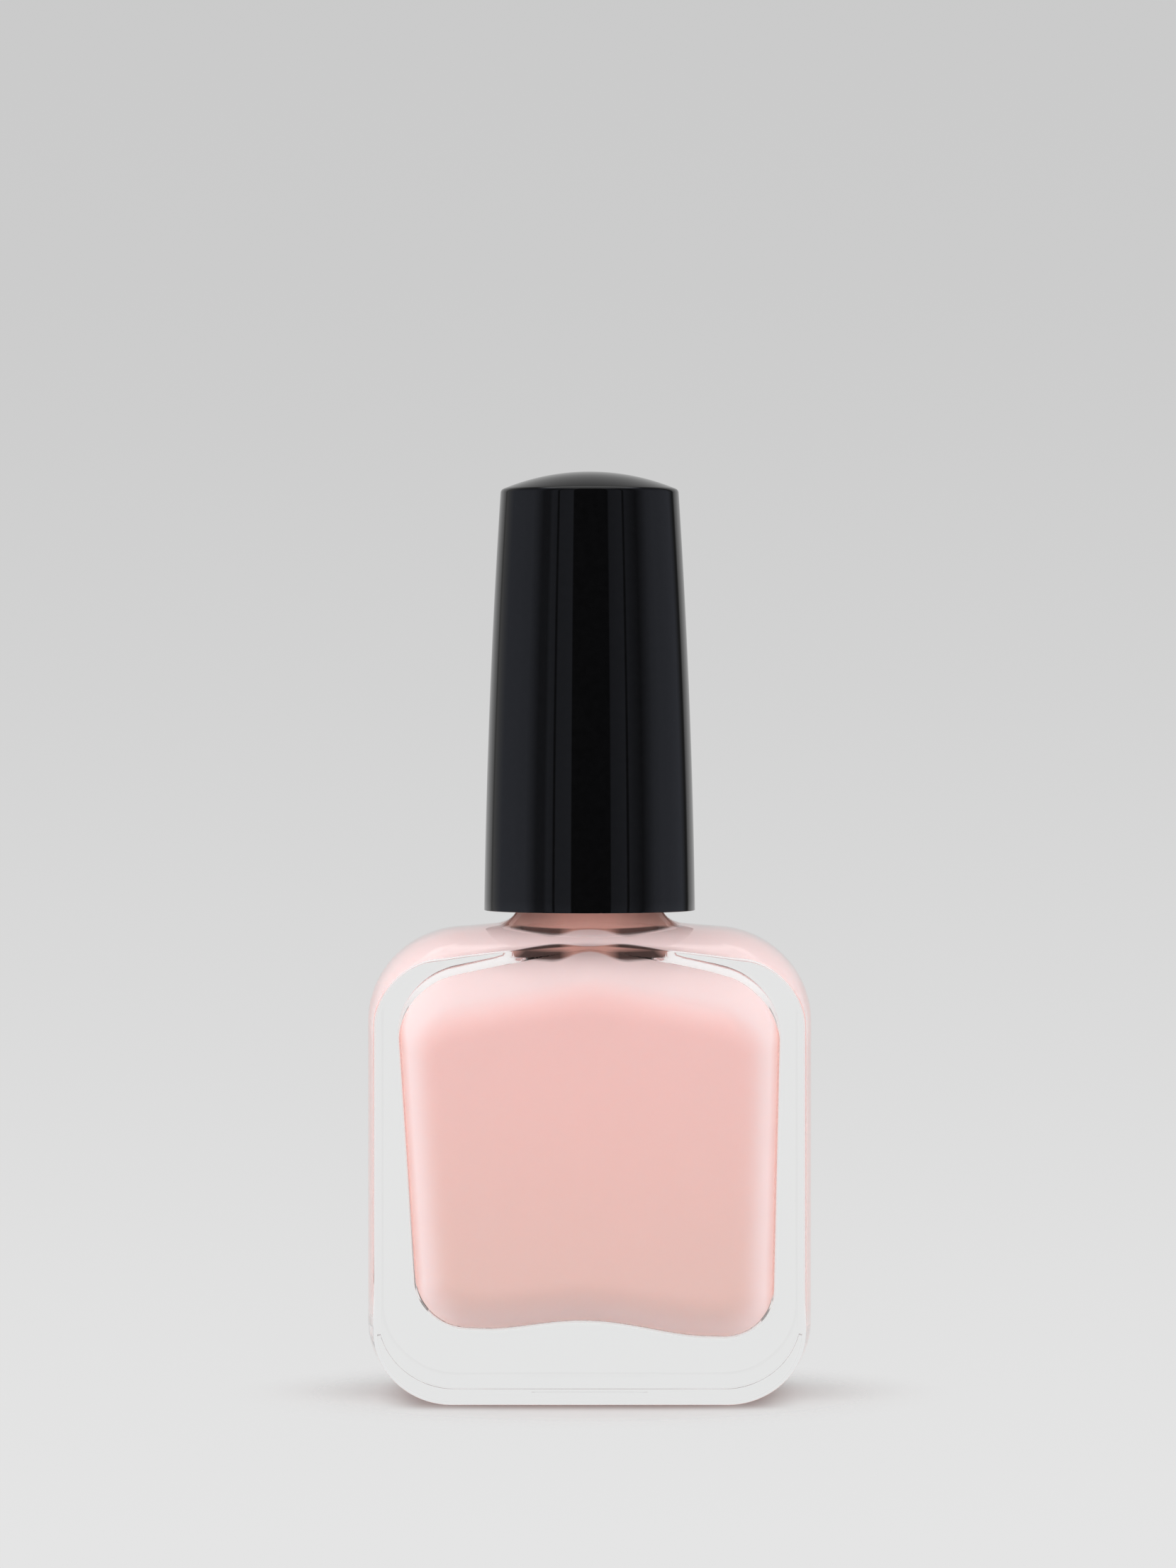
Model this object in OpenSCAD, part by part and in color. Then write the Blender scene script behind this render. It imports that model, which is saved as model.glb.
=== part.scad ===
// Nail polish bottle: a flat clear glass bottle, its polish, and a screw cap that carries the brush.
// Lengths are in millimetres. The base stands on z = 0 and the front faces -Y.

/* [Glass body] */
// Width of the body at the middle of its depth
body_w = 35.8; // [30:0.2:46]
// Depth of the body from front face to back face
body_d = 20; // [18:0.5:30]
// Height of the body from base to shoulder
body_h = 37.8; // [30:0.2:50]
// Radius of the two shoulder corners in the front view
shoulder_r = 7.3; // [4:0.1:10]
// Radius of the two bottom corners in the front view
foot_r = 6.2; // [3:0.2:8]
// Rounding of the edges round the front and back faces
edge_r = 0.3; // [0.2:0.1:2]
// How far each side bulges out at the middle of the depth
side_bulge = 0.7; // [0:0.1:1.5]
// How far the shoulder falls toward the front and back faces
shoulder_fall = 1.15; // [0:0.05:2]
// How far the shoulder falls toward the two sides
shoulder_arch = 0.3; // [0:0.1:1]
// How much further it falls there along the front and back faces
face_arch = 2.1; // [0:0.1:3]
// Radius of the shoulder corners at the front and back faces
face_shoulder_r = 4.6; // [3:0.1:8]
// Rise of the shoulder where it flares into the neck
flare_h = 0.5; // [0:0.1:1]
// Width of that flare, outward from the neck
flare_w = 8; // [3:0.5:9]

/* [Cavity] */
// Glass in front of and behind the polish
front_wall = 2.4; // [1.5:0.1:3.5]
// Left wall at the shoulder
left_wall = 2.3; // [1.5:0.1:4]
// Left wall at the base, where the glass is thicker
left_wall_foot = 4.0; // [2:0.1:5]
// Right wall at the shoulder
right_wall = 2.5; // [1.5:0.1:4]
// Right wall at the base
right_wall_foot = 3.1; // [2:0.1:5]
// Glass over the middle of the cavity at the shoulder
shoulder_wall = 1.0; // [0.8:0.1:3.5]
// Slope of the cavity's top from the middle down to each side
roof_slope = 0.21; // [0:0.005:0.3]
// How gently the two slopes meet in the middle
roof_bend = 1.2; // [0.2:0.1:4]
// How far the cavity's top falls toward its front and back
roof_fall = 2.3; // [0:0.1:4]
// Glass under the lowest part of the cavity
base_t = 5.3; // [3:0.1:8]
// Height of the hump in the middle of the cavity floor
floor_rise = 0.9; // [0:0.1:2]
// Drop of the cavity floor from left to right
floor_drop = 0.6; // [0:0.1:1]
// Bottom corner radius of the cavity in the front view
cavity_r = 4.5; // [2:0.25:6]
// Top corner radius of the cavity in the front view
cavity_top_r = 4.75; // [3:0.25:8]
// Rounding of the cavity toward its front and back
cavity_edge_r = 3.4; // [1:0.1:4]
// Depth of the hollow under the base
recess_depth = 0.3; // [0.2:0.1:1]
// Corner radius of that hollow
recess_r = 3; // [0.5:0.25:4]
// Width of the ring that the bottle stands on
bearing_w = 3; // [2:0.25:4]

/* [Neck finish] */
// Diameter of the neck under its thread
neck_d = 11.6; // [10:0.2:14]
// Height of the neck from shoulder to rim
neck_h = 11.3; // [10:0.1:14]
// Diameter of the hole through the neck
neck_bore = 8; // [7:0.1:9]
// How far over the shoulder the bore begins to open sideways into the cavity
funnel_rise = 1.2; // [0.6:0.1:1.6]
// How far it opens to each side for each step down
funnel_slope = 0.94; // [0.5:0.02:1.2]
// How much that opening clears the bore at its front and back
funnel_clear = 0.1; // [0.05:0.05:0.3]
// Radius where the neck runs into the shoulder
neck_fillet = 1.8; // [1:0.1:2.4]
// Rounding of the rim
rim_r = 0.5; // [0.2:0.1:0.8]
// Rise of the thread in one turn
thread_pitch = 2.1; // [1.8:0.05:2.6]
// Turns of thread on the neck
thread_turns = 1.5; // [1:0.25:2]
// Turns of thread in the inner cap
cap_thread_turns = 1.25; // [1:0.25:1.75]
// Height of the thread off the neck
thread_depth = 0.65; // [0.4:0.05:0.9]
// Width of the thread where it leaves the wall
thread_root_w = 1.0; // [0.7:0.05:1.1]
// Width of the thread at its crest
thread_crest_w = 0.45; // [0.3:0.05:0.6]
// Distance from the rim down to the end of the thread
thread_start = 1.3; // [0.9:0.1:2]

/* [Cap] */
// Height of the cap from its lower edge to its rim
cap_h = 34.1; // [28:0.1:44]
// Rise of the domed top above the rim
dome_h = 1.35; // [0.6:0.05:2.5]
// How much smaller the cap's radius is at the rim than at the lower edge
cap_taper = 1.35; // [0.6:0.05:1.6]
// How far the cap's side bows outward
cap_bow = 0.22; // [0.05:0.01:0.4]
// Rounding of the cap's rim
cap_rim_r = 0.4; // [0.1:0.05:0.8]
// Wall of the cap at its lower edge
cap_wall = 1.15; // [1:0.05:1.8]
// Wall of the cap above the inner cap
cap_upper_wall = 1.3; // [1:0.05:1.8]
// Thickness of the top of the cap
cap_top_t = 1.6; // [1:0.1:3]
// Gap between the cap's lower edge and the shoulder
cap_gap = 1.3; // [0.8:0.1:2.4]
// Ribs that stop the inner cap from turning in the cap
rib_count = 12; // [6:2:16]
// Width of each rib
rib_w = 0.6; // [0.4:0.05:0.8]
// Height of each rib off the wall
rib_depth = 0.25; // [0.15:0.05:0.3]

/* [Inner cap and seal] */
// Wall of the inner cap's skirt
skirt_wall = 0.75; // [0.65:0.05:1]
// Distance from the cap's lower edge up to the skirt
skirt_setback = 0.5; // [0.2:0.1:1.5]
// Thickness of the inner cap's roof
roof_t = 1.4; // [1:0.1:2]
// Height of the socket that holds the brush stem, over the roof
socket_h = 4.2; // [3:0.1:6]
// Wall of that socket
socket_wall = 1.3; // [0.8:0.1:1.8]
// Thickness of the seal washer
seal_t = 0.8; // [0.5:0.1:1.2]

/* [Brush] */
// Diameter of the stem's head in the socket
head_d = 4; // [3:0.1:5]
// Depth of the plug collar below the rim
plug_depth = 1.2; // [0.6:0.1:2]
// Diameter of the stem under the collar
stem_top_d = 4.2; // [3.8:0.1:5]
// Diameter of the stem at its lower end
stem_end_d = 3.6; // [3.4:0.1:4]
// Diameter of the hole that holds the tuft
tuft_hole_d = 2.7; // [2.4:0.1:2.9]
// Depth of that hole
tuft_hole_depth = 4; // [3:0.1:6]
// Length of the bristles that shows below the stem
bristle_len = 14.5; // [10:0.5:15]
// Height of the bristles' tips over the hump of the cavity floor
tip_rise = 1.4; // [0.5:0.1:4]
// How much wider the tuft is at its tip than in its hole
tuft_flare = 1.3; // [1:0.05:1.5]
// How much shorter the outer bristles are than the middle ones
tuft_dome = 1.6; // [0:0.1:3]
// Number of bristles
bristle_count = 300; // [300:10:500]
// Thickness of one bristle
bristle_d = 0.09; // [0.05:0.005:0.09]
// Thickness of the disc that the bristles are set in
tuft_disc_t = 0.5; // [0.3:0.1:1]
// Thickness of the staple wire
staple_d = 0.4; // [0.3:0.05:0.6]

/* [Polish and beads] */
// How far the polish fills the neck above the shoulder
fill_rise = 3; // [0:0.1:5]
// Diameter of each mixing bead
ball_d = 4; // [3:0.1:5]

/* [Fits] */
// Gap between two threads across their crests
thread_gap = 0.15; // [0.1:0.01:0.3]
// Gap between the cap and the inner cap pressed into it
press_gap = 0.03; // [0.01:0.01:0.06]
// Gap round the stem's head and round the plug collar
turn_gap = 0.1; // [0.05:0.01:0.2]
// Gap between the plug collar and the neck's hole
plug_gap = 0.25; // [0.15:0.01:0.4]
// Gap between the seal washer and the inner cap's skirt
seal_gap = 0.3; // [0.15:0.05:0.5]
// Gap round the polish, the tuft and the staple
fill_gap = 0.05; // [0.03:0.01:0.1]

/* [Hidden] */
$fn = 96;

// Small overlap that makes cuts run past the faces they open
past = 1;
// Points on each corner arc of a front-view outline, and on its top and bottom edges
corner_steps = 9;
edge_steps = 16;
// Sections across the middle of a lofted body, and across each of its rounded edges
mid_steps = 12;
round_steps = 5;
// Steps up the bowed side of the cap
side_steps = 24;
// Steps in one turn of a thread, the turns over which its ends run out, and their share of its height there
thread_steps = 30;
runout = 0.12;
runout_low = 0.1;
// How deep a thread, a rib or the bore's opening is rooted in what it joins
root_sink = 0.2;
// Sides of one bristle, the angle between one bristle and the next, and how thick a bristle is at its tip
bristle_sides = 3;
bristle_turn = 137.508;
bristle_tip = 0.6;
// Smallest corner radius of a cavity section
least_r = 0.5;

half_d = body_d / 2;
neck_r = neck_d / 2;
bore_r = neck_bore / 2;
rim_z = body_h + neck_h;
thread_r = neck_r + thread_depth;
thread_z = rim_z - thread_start - thread_pitch * thread_turns;

skirt_bore_r = thread_r + thread_gap;
skirt_r = skirt_bore_r + skirt_wall;
roof_z = rim_z + seal_t;
roof_top_z = roof_z + roof_t;
socket_r = head_d / 2 + turn_gap;
boss_r = socket_r + socket_wall;
boss_top_z = roof_z + socket_h + socket_wall;

cap_bore_r = skirt_r + press_gap;
cap_r = cap_bore_r + cap_wall;
cap_z = body_h + cap_gap;
cap_rim_z = cap_z + cap_h;
cap_top_z = cap_rim_z + dome_h;
skirt_z = cap_z + skirt_setback;

plug_r = bore_r - plug_gap;
tip_z = base_t + floor_rise + tip_rise;
stem_z = tip_z + bristle_len;
hole_r = tuft_hole_d / 2;
hole_top_z = stem_z + tuft_hole_depth;
staple_z = hole_top_z - fill_gap - staple_d / 2;
tuft_top_z = staple_z - staple_d / 2 - fill_gap;
tuft_r = hole_r - fill_gap;

cavity_half_d = half_d - front_wall;
cavity_top_z = body_h - shoulder_wall;
fill_z = body_h + fill_rise;
// The beads lie where the cavity floor meets its corners
ball_x = body_w / 2 - max(left_wall_foot, right_wall_foot) - max(cavity_r, ball_d / 2);

// Front-view outline of half width w between heights zb and zt, with bottom and top corner radii
function outline(w, zb, zt, rb, rt) = concat(
    [for (i = [0 : corner_steps]) arc_point(w - rb, zb + rb, rb, -90 + 90 * i / corner_steps)],
    [for (i = [0 : corner_steps]) arc_point(w - rt, zt - rt, rt, 90 * i / corner_steps)],
    [for (i = [1 : edge_steps - 1]) [(w - rt) * (1 - 2 * i / edge_steps), zt]],
    [for (i = [0 : corner_steps]) arc_point(rt - w, zt - rt, rt, 90 + 90 * i / corner_steps)],
    [for (i = [0 : corner_steps]) arc_point(rb - w, zb + rb, rb, 180 + 90 * i / corner_steps)],
    [for (i = [1 : edge_steps - 1]) [(w - rb) * (2 * i / edge_steps - 1), zb]]);
function arc_point(x, z, r, a) = [x + r * cos(a), z + r * sin(a)];

// Depth and inset of each section of a body of half depth h whose edges are rounded by r
function sections(h, r) = concat(
    [for (i = [0 : round_steps]) let (a = 90 - 90 * i / round_steps) [-h + r - r * sin(a), r - r * cos(a)]],
    [for (i = [1 : mid_steps - 1]) [(h - r) * sin(180 * i / mid_steps - 90), 0]],
    [for (i = [0 : round_steps]) let (a = 90 * i / round_steps) [h - r + r * sin(a), r - r * cos(a)]]);

// Section of the glass body at depth y, drawn in by inset
function glass_section(y, inset) = let (
    share = y / half_d,
    w = body_w / 2 - side_bulge * share * share - inset,
    zt = body_h - shoulder_fall * pow(share, 4) - inset,
    rt = shoulder_r + (face_shoulder_r - shoulder_r) * pow(share, 4) - inset)
    [for (p = outline(w, inset, zt, foot_r - inset, rt))
        [p.x, y, p.y + shoulder_shape(p.x, y) * (p.y - inset) / (zt - inset)]];
function shoulder_shape(x, y) = let (
    out = norm([x, y]) - neck_r,
    arch = shoulder_arch + face_arch * pow(y / half_d, 4))
    -arch * pow(2 * x / body_w, 2) + flare_h * pow(max(0, 1 - max(0, out) / flare_w), 2);

// Section of the cavity at depth y, drawn in by inset
function cavity_section(y, inset) = let (
    w = body_w / 2 - left_wall,
    zt = cavity_top_z - inset,
    zb = base_t + inset,
    rb = max(cavity_r - inset, least_r),
    rt = max(cavity_top_r - inset, least_r))
    [for (p = outline(w - inset, zb, zt, rb, rt)) let (up = (p.y - zb) / (zt - zb))
        [p.x + side_shift(p.x / (w - inset), up), y,
         p.y + floor_shape(p.x) * (1 - up) - roof_shape(p.x, y) * up]];
function side_shift(side, up) = side < 0
    ? -side * (left_wall_foot - left_wall) * (1 - up)
    : -side * ((right_wall - left_wall) * up + (right_wall_foot - left_wall) * (1 - up));
function roof_shape(x, y) = roof_slope * (norm([x, roof_bend]) - roof_bend)
    + roof_fall * pow(y / cavity_half_d, 2);
function floor_shape(x) = floor_rise * pow(max(0, 1 - pow(x / ball_x, 2)), 2) - floor_drop * x / (2 * ball_x);

// Solid through a list of rings with as many points each, closed by a fan at both ends
module loft(rings) {
    count = len(rings[0]);
    last = len(rings) - 1;
    points = concat([for (ring = rings) each ring], [middle(rings[0]), middle(rings[last])]);
    ends = len(rings) * count;
    sides = [for (k = [0 : last - 1], i = [0 : count - 1]) let (
        a = k * count + i,
        b = k * count + (i + 1) % count)
        each [[a, b, b + count], [a, b + count, a + count]]];
    first_end = [for (i = [0 : count - 1]) [(i + 1) % count, i, ends]];
    last_end = [for (i = [0 : count - 1]) [last * count + i, last * count + (i + 1) % count, ends + 1]];
    polyhedron(points, concat(sides, first_end, last_end));
}
function middle(ring) = [for (axis = [0 : 2]) [for (p = ring) p[axis]] * [for (p = ring) 1] / len(ring)];

// Helical ridge on radius r that stands out by depth, or inward where depth is negative
module thread_ridge(r, depth, z, turns) {
    steps = ceil(turns * thread_steps);
    sink = depth > 0 ? -root_sink : root_sink;
    rings = [for (i = [0 : steps]) let (
        turn = turns * i / steps,
        rise = min(1, turn / runout + runout_low, (turns - turn) / runout + runout_low),
        mid_z = z + thread_pitch * turn)
        [for (p = [[sink, -thread_root_w], [depth * rise, -thread_crest_w],
                   [depth * rise, thread_crest_w], [sink, thread_root_w]])
            [(r + p.x) * cos(360 * turn), (r + p.x) * sin(360 * turn), mid_z + p.y / 2]]];
    if (depth > 0) loft(rings);
    else loft([for (ring = rings) [for (i = [3 : -1 : 0]) ring[i]]]);
}

module glass_body() {
    loft([for (s = sections(half_d, edge_r)) glass_section(s[0], s[1])]);
}

module cavity(gap) {
    loft([for (s = sections(cavity_half_d - gap, cavity_edge_r)) cavity_section(s[0], s[1] + gap)]);
    translate([0, 0, cavity_top_z - cavity_edge_r - gap])
        cylinder(h = fill_z - cavity_top_z + cavity_edge_r + gap, r = bore_r - gap);
    funnel(gap);
}

// Opening of the bore toward both sides, cut off flat at its front and back
module funnel(gap) {
    low_z = cavity_top_z - cavity_edge_r;
    open_z = body_h + funnel_rise;
    top_z = open_z + root_sink / funnel_slope;
    half = bore_r + funnel_clear - gap;
    intersection() {
        translate([0, 0, low_z]) cylinder(h = top_z - low_z,
            r1 = bore_r - gap + funnel_slope * (open_z - low_z), r2 = bore_r - gap - root_sink);
        translate([-body_w / 2, -half, low_z - past]) cube([body_w, 2 * half, top_z - low_z + 2 * past]);
    }
}

module neck_outside() {
    fillet_z = body_h + neck_fillet;
    rotate_extrude() polygon(concat(
        [[0, cavity_top_z], [neck_r + neck_fillet, cavity_top_z]],
        [for (i = [0 : corner_steps]) arc_point(neck_r + neck_fillet, fillet_z, neck_fillet,
            270 - 90 * i / corner_steps)],
        [for (i = [0 : corner_steps]) arc_point(neck_r - rim_r, rim_z - rim_r, rim_r, 90 * i / corner_steps)],
        [[0, rim_z]]));
}

module base_recess() {
    w = body_w - 2 * (foot_r + side_bulge + bearing_w);
    d = body_d - 2 * (edge_r + bearing_w);
    translate([0, 0, -past]) linear_extrude(height = past + recess_depth) {
        square([w, d - 2 * recess_r], center = true);
        square([w - 2 * recess_r, d], center = true);
        for (x = [-1, 1], y = [-1, 1]) translate([x * (w / 2 - recess_r), y * (d / 2 - recess_r)])
            circle(r = recess_r);
    }
}

module glass_bottle() {
    color([0.86, 0.9, 0.9, 0.5]) difference() {
        union() {
            glass_body();
            neck_outside();
            thread_ridge(neck_r, thread_depth, thread_z, thread_turns);
        }
        cavity(0);
        translate([0, 0, fill_z - past]) cylinder(h = rim_z - fill_z + 2 * past, r = bore_r);
        base_recess();
    }
}

module polish() {
    color([0.94, 0.75, 0.73]) difference() {
        cavity(fill_gap);
        stem_shape(fill_gap);
        tuft_envelope(fill_gap);
        for (side = [-1, 1]) mixing_ball(side, fill_gap);
    }
}

// Radius of the cap's outside at height z: a straight taper with a bow
function cap_radius(z) = let (up = (z - cap_z) / cap_h) cap_r - cap_taper * up + 4 * cap_bow * up * (1 - up);

module cap_outside() {
    side_top_z = cap_rim_z - cap_rim_r;
    round_x = cap_radius(side_top_z) - cap_rim_r;
    dome_r = (pow(round_x, 2) + pow(dome_h, 2) + 2 * dome_h * cap_rim_r) / (2 * dome_h);
    slope = asin(round_x / (dome_r - cap_rim_r));
    rotate_extrude() polygon(concat(
        [[0, cap_z], [cap_r, cap_z]],
        [for (i = [1 : side_steps]) let (z = cap_z + (side_top_z - cap_z) * i / side_steps)
            [cap_radius(z), z]],
        [for (i = [1 : corner_steps]) arc_point(round_x, side_top_z, cap_rim_r,
            (90 - slope) * i / corner_steps)],
        [for (i = [corner_steps - 1 : -1 : 0]) arc_point(0, cap_top_z - dome_r, dome_r,
            90 - slope * i / corner_steps)]));
}

module cap_inside() {
    inner_top_z = cap_rim_z - cap_top_t;
    translate([0, 0, cap_z - past]) cylinder(h = roof_top_z - cap_z + past, r = cap_bore_r);
    translate([0, 0, roof_top_z - past]) cylinder(h = inner_top_z - roof_top_z + past,
        r1 = cap_radius(roof_top_z) - cap_upper_wall, r2 = cap_radius(inner_top_z) - cap_upper_wall);
}

module ribs(grow) {
    for (i = [0 : rib_count - 1]) rotate(360 * i / rib_count)
        translate([cap_bore_r - rib_depth - grow, -rib_w / 2 - grow, skirt_z])
            cube([rib_depth + grow + root_sink, rib_w + 2 * grow, roof_top_z - skirt_z + root_sink]);
}

module outer_cap() {
    color([0.05, 0.05, 0.06]) {
        difference() {
            cap_outside();
            cap_inside();
        }
        ribs(0);
    }
}

module inner_cap() {
    color([0.85, 0.85, 0.83]) difference() {
        union() {
            translate([0, 0, skirt_z]) difference() {
                cylinder(h = roof_top_z - skirt_z, r = skirt_r);
                translate([0, 0, -past]) cylinder(h = roof_z - skirt_z + past, r = skirt_bore_r);
            }
            translate([0, 0, roof_z]) cylinder(h = boss_top_z - roof_z, r = boss_r);
            thread_ridge(skirt_bore_r, -thread_depth + thread_gap, thread_z - thread_pitch / 2,
                cap_thread_turns);
        }
        translate([0, 0, roof_z - past]) cylinder(h = socket_h + past, r = socket_r);
        ribs(press_gap);
    }
}

module seal_washer() {
    color([0.95, 0.95, 0.9]) translate([0, 0, rim_z]) difference() {
        cylinder(h = seal_t, r = skirt_bore_r - seal_gap);
        translate([0, 0, -past]) cylinder(h = seal_t + 2 * past, r = plug_r + turn_gap);
    }
}

// Outside of the stem below the roof, grown by gap
module stem_shape(gap) {
    translate([0, 0, rim_z - plug_depth - gap]) cylinder(h = plug_depth + seal_t + gap, r = plug_r + gap);
    translate([0, 0, stem_z - gap]) cylinder(h = rim_z - plug_depth - stem_z + gap,
        r1 = stem_end_d / 2 + gap, r2 = stem_top_d / 2 + gap);
}

module brush_stem() {
    color([0.9, 0.9, 0.88]) difference() {
        union() {
            stem_shape(0);
            translate([0, 0, roof_z - past]) cylinder(h = socket_h - turn_gap + past, r = head_d / 2);
        }
        translate([0, 0, stem_z - past]) cylinder(h = tuft_hole_depth + past, r = hole_r);
    }
}

// Room for all the bristles below the stem, grown by gap
module tuft_envelope(gap) {
    translate([0, 0, tip_z - gap]) cylinder(h = bristle_len + 2 * gap, r = tuft_r * tuft_flare + gap);
}

module bristle(k) {
    out = (tuft_r - bristle_d) * sqrt((k + 0.5) / bristle_count);
    root = tuft_disc_t / 2;
    end_z = tip_z + tuft_dome * pow(out / tuft_r, 2);
    rings = [[tuft_top_z - root, 1, 1], [tuft_top_z - 3 * root, 1, 1], [end_z, tuft_flare, bristle_tip]];
    loft([for (ring = rings) [for (i = [0 : bristle_sides - 1]) let (a = 360 * i / bristle_sides)
        [out * ring[1] * cos(k * bristle_turn) + bristle_d / 2 * ring[2] * cos(a),
         out * ring[1] * sin(k * bristle_turn) + bristle_d / 2 * ring[2] * sin(a), ring[0]]]]);
}

module bristles() {
    color([0.2, 0.18, 0.17]) resize([0, 0, tuft_top_z - tip_z]) union() {
        translate([0, 0, tuft_top_z - tuft_disc_t]) cylinder(h = tuft_disc_t, r = tuft_r, $fn = 48);
        for (k = [0 : bristle_count - 1]) bristle(k);
    }
}

module bristle_staple() {
    color([0.75, 0.75, 0.77]) translate([0, 0, staple_z]) rotate([0, 90, 0])
        cylinder(h = 2 * (hole_r - staple_d / 2), d = staple_d, center = true);
}

// Bead on the low part of the floor, left (-1) or right (1), grown by gap
module mixing_ball(side, gap) {
    translate([side * ball_x, 0, base_t + floor_shape(side * ball_x) + fill_gap + ball_d / 2])
        sphere(d = ball_d + 2 * gap);
}

module mixing_ball_left() {
    color([0.8, 0.8, 0.82]) mixing_ball(-1, 0);
}

module mixing_ball_right() {
    color([0.8, 0.8, 0.82]) mixing_ball(1, 0);
}

glass_bottle();
polish();
outer_cap();
inner_cap();
seal_washer();
brush_stem();
bristles();
bristle_staple();
mixing_ball_left();
mixing_ball_right();
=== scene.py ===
import bpy, math
import numpy as np
from functools import partial, reduce
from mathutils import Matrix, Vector


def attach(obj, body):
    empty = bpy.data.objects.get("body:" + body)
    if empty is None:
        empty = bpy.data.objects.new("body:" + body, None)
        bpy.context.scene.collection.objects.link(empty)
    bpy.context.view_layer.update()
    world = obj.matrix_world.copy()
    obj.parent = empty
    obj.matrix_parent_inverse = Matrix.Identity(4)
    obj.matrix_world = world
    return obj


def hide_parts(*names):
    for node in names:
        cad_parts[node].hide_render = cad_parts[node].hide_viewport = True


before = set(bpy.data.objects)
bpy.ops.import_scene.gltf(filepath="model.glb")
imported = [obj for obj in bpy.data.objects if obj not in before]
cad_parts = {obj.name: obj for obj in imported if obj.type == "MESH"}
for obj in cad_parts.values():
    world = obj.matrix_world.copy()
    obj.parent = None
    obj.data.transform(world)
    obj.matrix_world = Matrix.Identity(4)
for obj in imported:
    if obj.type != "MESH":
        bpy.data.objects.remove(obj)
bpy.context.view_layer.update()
scene = bpy.context.scene
scene.view_settings.view_transform = "Standard"
mm = 0.001
tiny = 1e-6
white = (1, 1, 1, 1)
noiseLow, noiseHigh = 0.3, 0.7  # most of a noise lies between these


# nodes, for materials and for shapes alike

def addNode(tree, kind, inputs=None, **attributes):
    node = tree.nodes.new(kind)
    for key, value in attributes.items():
        setattr(node, key, value)
    for key, value in (inputs or {}).items():
        if isinstance(value, bpy.types.NodeSocket):
            tree.links.new(value, node.inputs[key])
        else:
            node.inputs[key].default_value = value
    return node


def calc(tree, operation, *terms):
    return addNode(tree, "ShaderNodeMath", dict(enumerate(terms)), operation=operation).outputs[0]


def sums(tree):  # adding, taking away and multiplying, for any number of sockets and numbers
    def chained(operation):
        return lambda *terms: reduce(partial(calc, tree, operation), terms)
    return [chained(operation) for operation in ("ADD", "SUBTRACT", "MULTIPLY")]


def ranged(tree, value, near, full, low=0.0, high=1.0, ease="LINEAR"):  # low at near, high at full
    return addNode(tree, "ShaderNodeMapRange", {
        "Value": value, "From Min": near, "From Max": full, "To Min": low, "To Max": high},
        interpolation_type=ease).outputs[0]


def blended(tree, share, first, second):
    return addNode(tree, "ShaderNodeMix", {0: share, 6: first, 7: second}, data_type="RGBA").outputs[2]


def vector(tree, **parts):
    return addNode(tree, "ShaderNodeCombineXYZ", parts).outputs[0]


def axes(tree, source):
    return addNode(tree, "ShaderNodeSeparateXYZ", {"Vector": source}).outputs


def pieceCoords(tree):
    return addNode(tree, "ShaderNodeTexCoord").outputs["Object"]


def makeMaterial(name, plain):
    material = bpy.data.materials.new(name)
    material.use_nodes = True
    tree = material.node_tree
    shader = tree.nodes["Principled BSDF"]
    for key, value in plain.items():
        shader.inputs[key].default_value = value
    return material, tree, shader


def feed(tree, shader, key, source):
    tree.links.new(source, shader.inputs[key])


def pieceNoise(tree, size, detail=3.0, stretch=(1, 1, 1)):  # size of one blotch in mm
    mapped = addNode(tree, "ShaderNodeMapping", {"Vector": pieceCoords(tree), "Scale": stretch})
    return addNode(tree, "ShaderNodeTexNoise", {
        "Vector": mapped.outputs[0], "Scale": 1 / (size * mm), "Detail": detail}).outputs[0]


def spread(tree, source, low, high):
    return ranged(tree, source, noiseLow, noiseHigh, low, high)


def twoTone(tree, source, dark, light):
    ramp = addNode(tree, "ShaderNodeValToRGB", {"Fac": source})
    for stop, place, colour in zip(ramp.color_ramp.elements, (noiseLow, noiseHigh), (dark, light)):
        stop.position, stop.color = place, (*colour, 1)
    return ramp.outputs[0]


def bumpOn(tree, shader, height, strength, depth):  # depth in mm
    bump = addNode(tree, "ShaderNodeBump", {"Height": height, "Strength": strength, "Distance": depth * mm})
    feed(tree, shader, "Normal", bump.outputs[0])


# finishes: a noise is given as the size of a blotch in mm, its detail and its stretch,
# and a relief as its strength and its depth in mm

glassLook = {"tint": (0.985, 0.99, 0.988, 1), "index": 1.5, "waves": (9, 2.0), "relief": (0.10, 0.05)}


def clearGlassFinish():
    look = glassLook
    material, tree, shader = makeMaterial("clearGlass", {
        "Transmission Weight": 1.0, "Roughness": 0.0, "IOR": look["index"], "Base Color": look["tint"]})
    bumpOn(tree, shader, pieceNoise(tree, *look["waves"]), *look["relief"])  # slow waves of pressed glass
    return material


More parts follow.
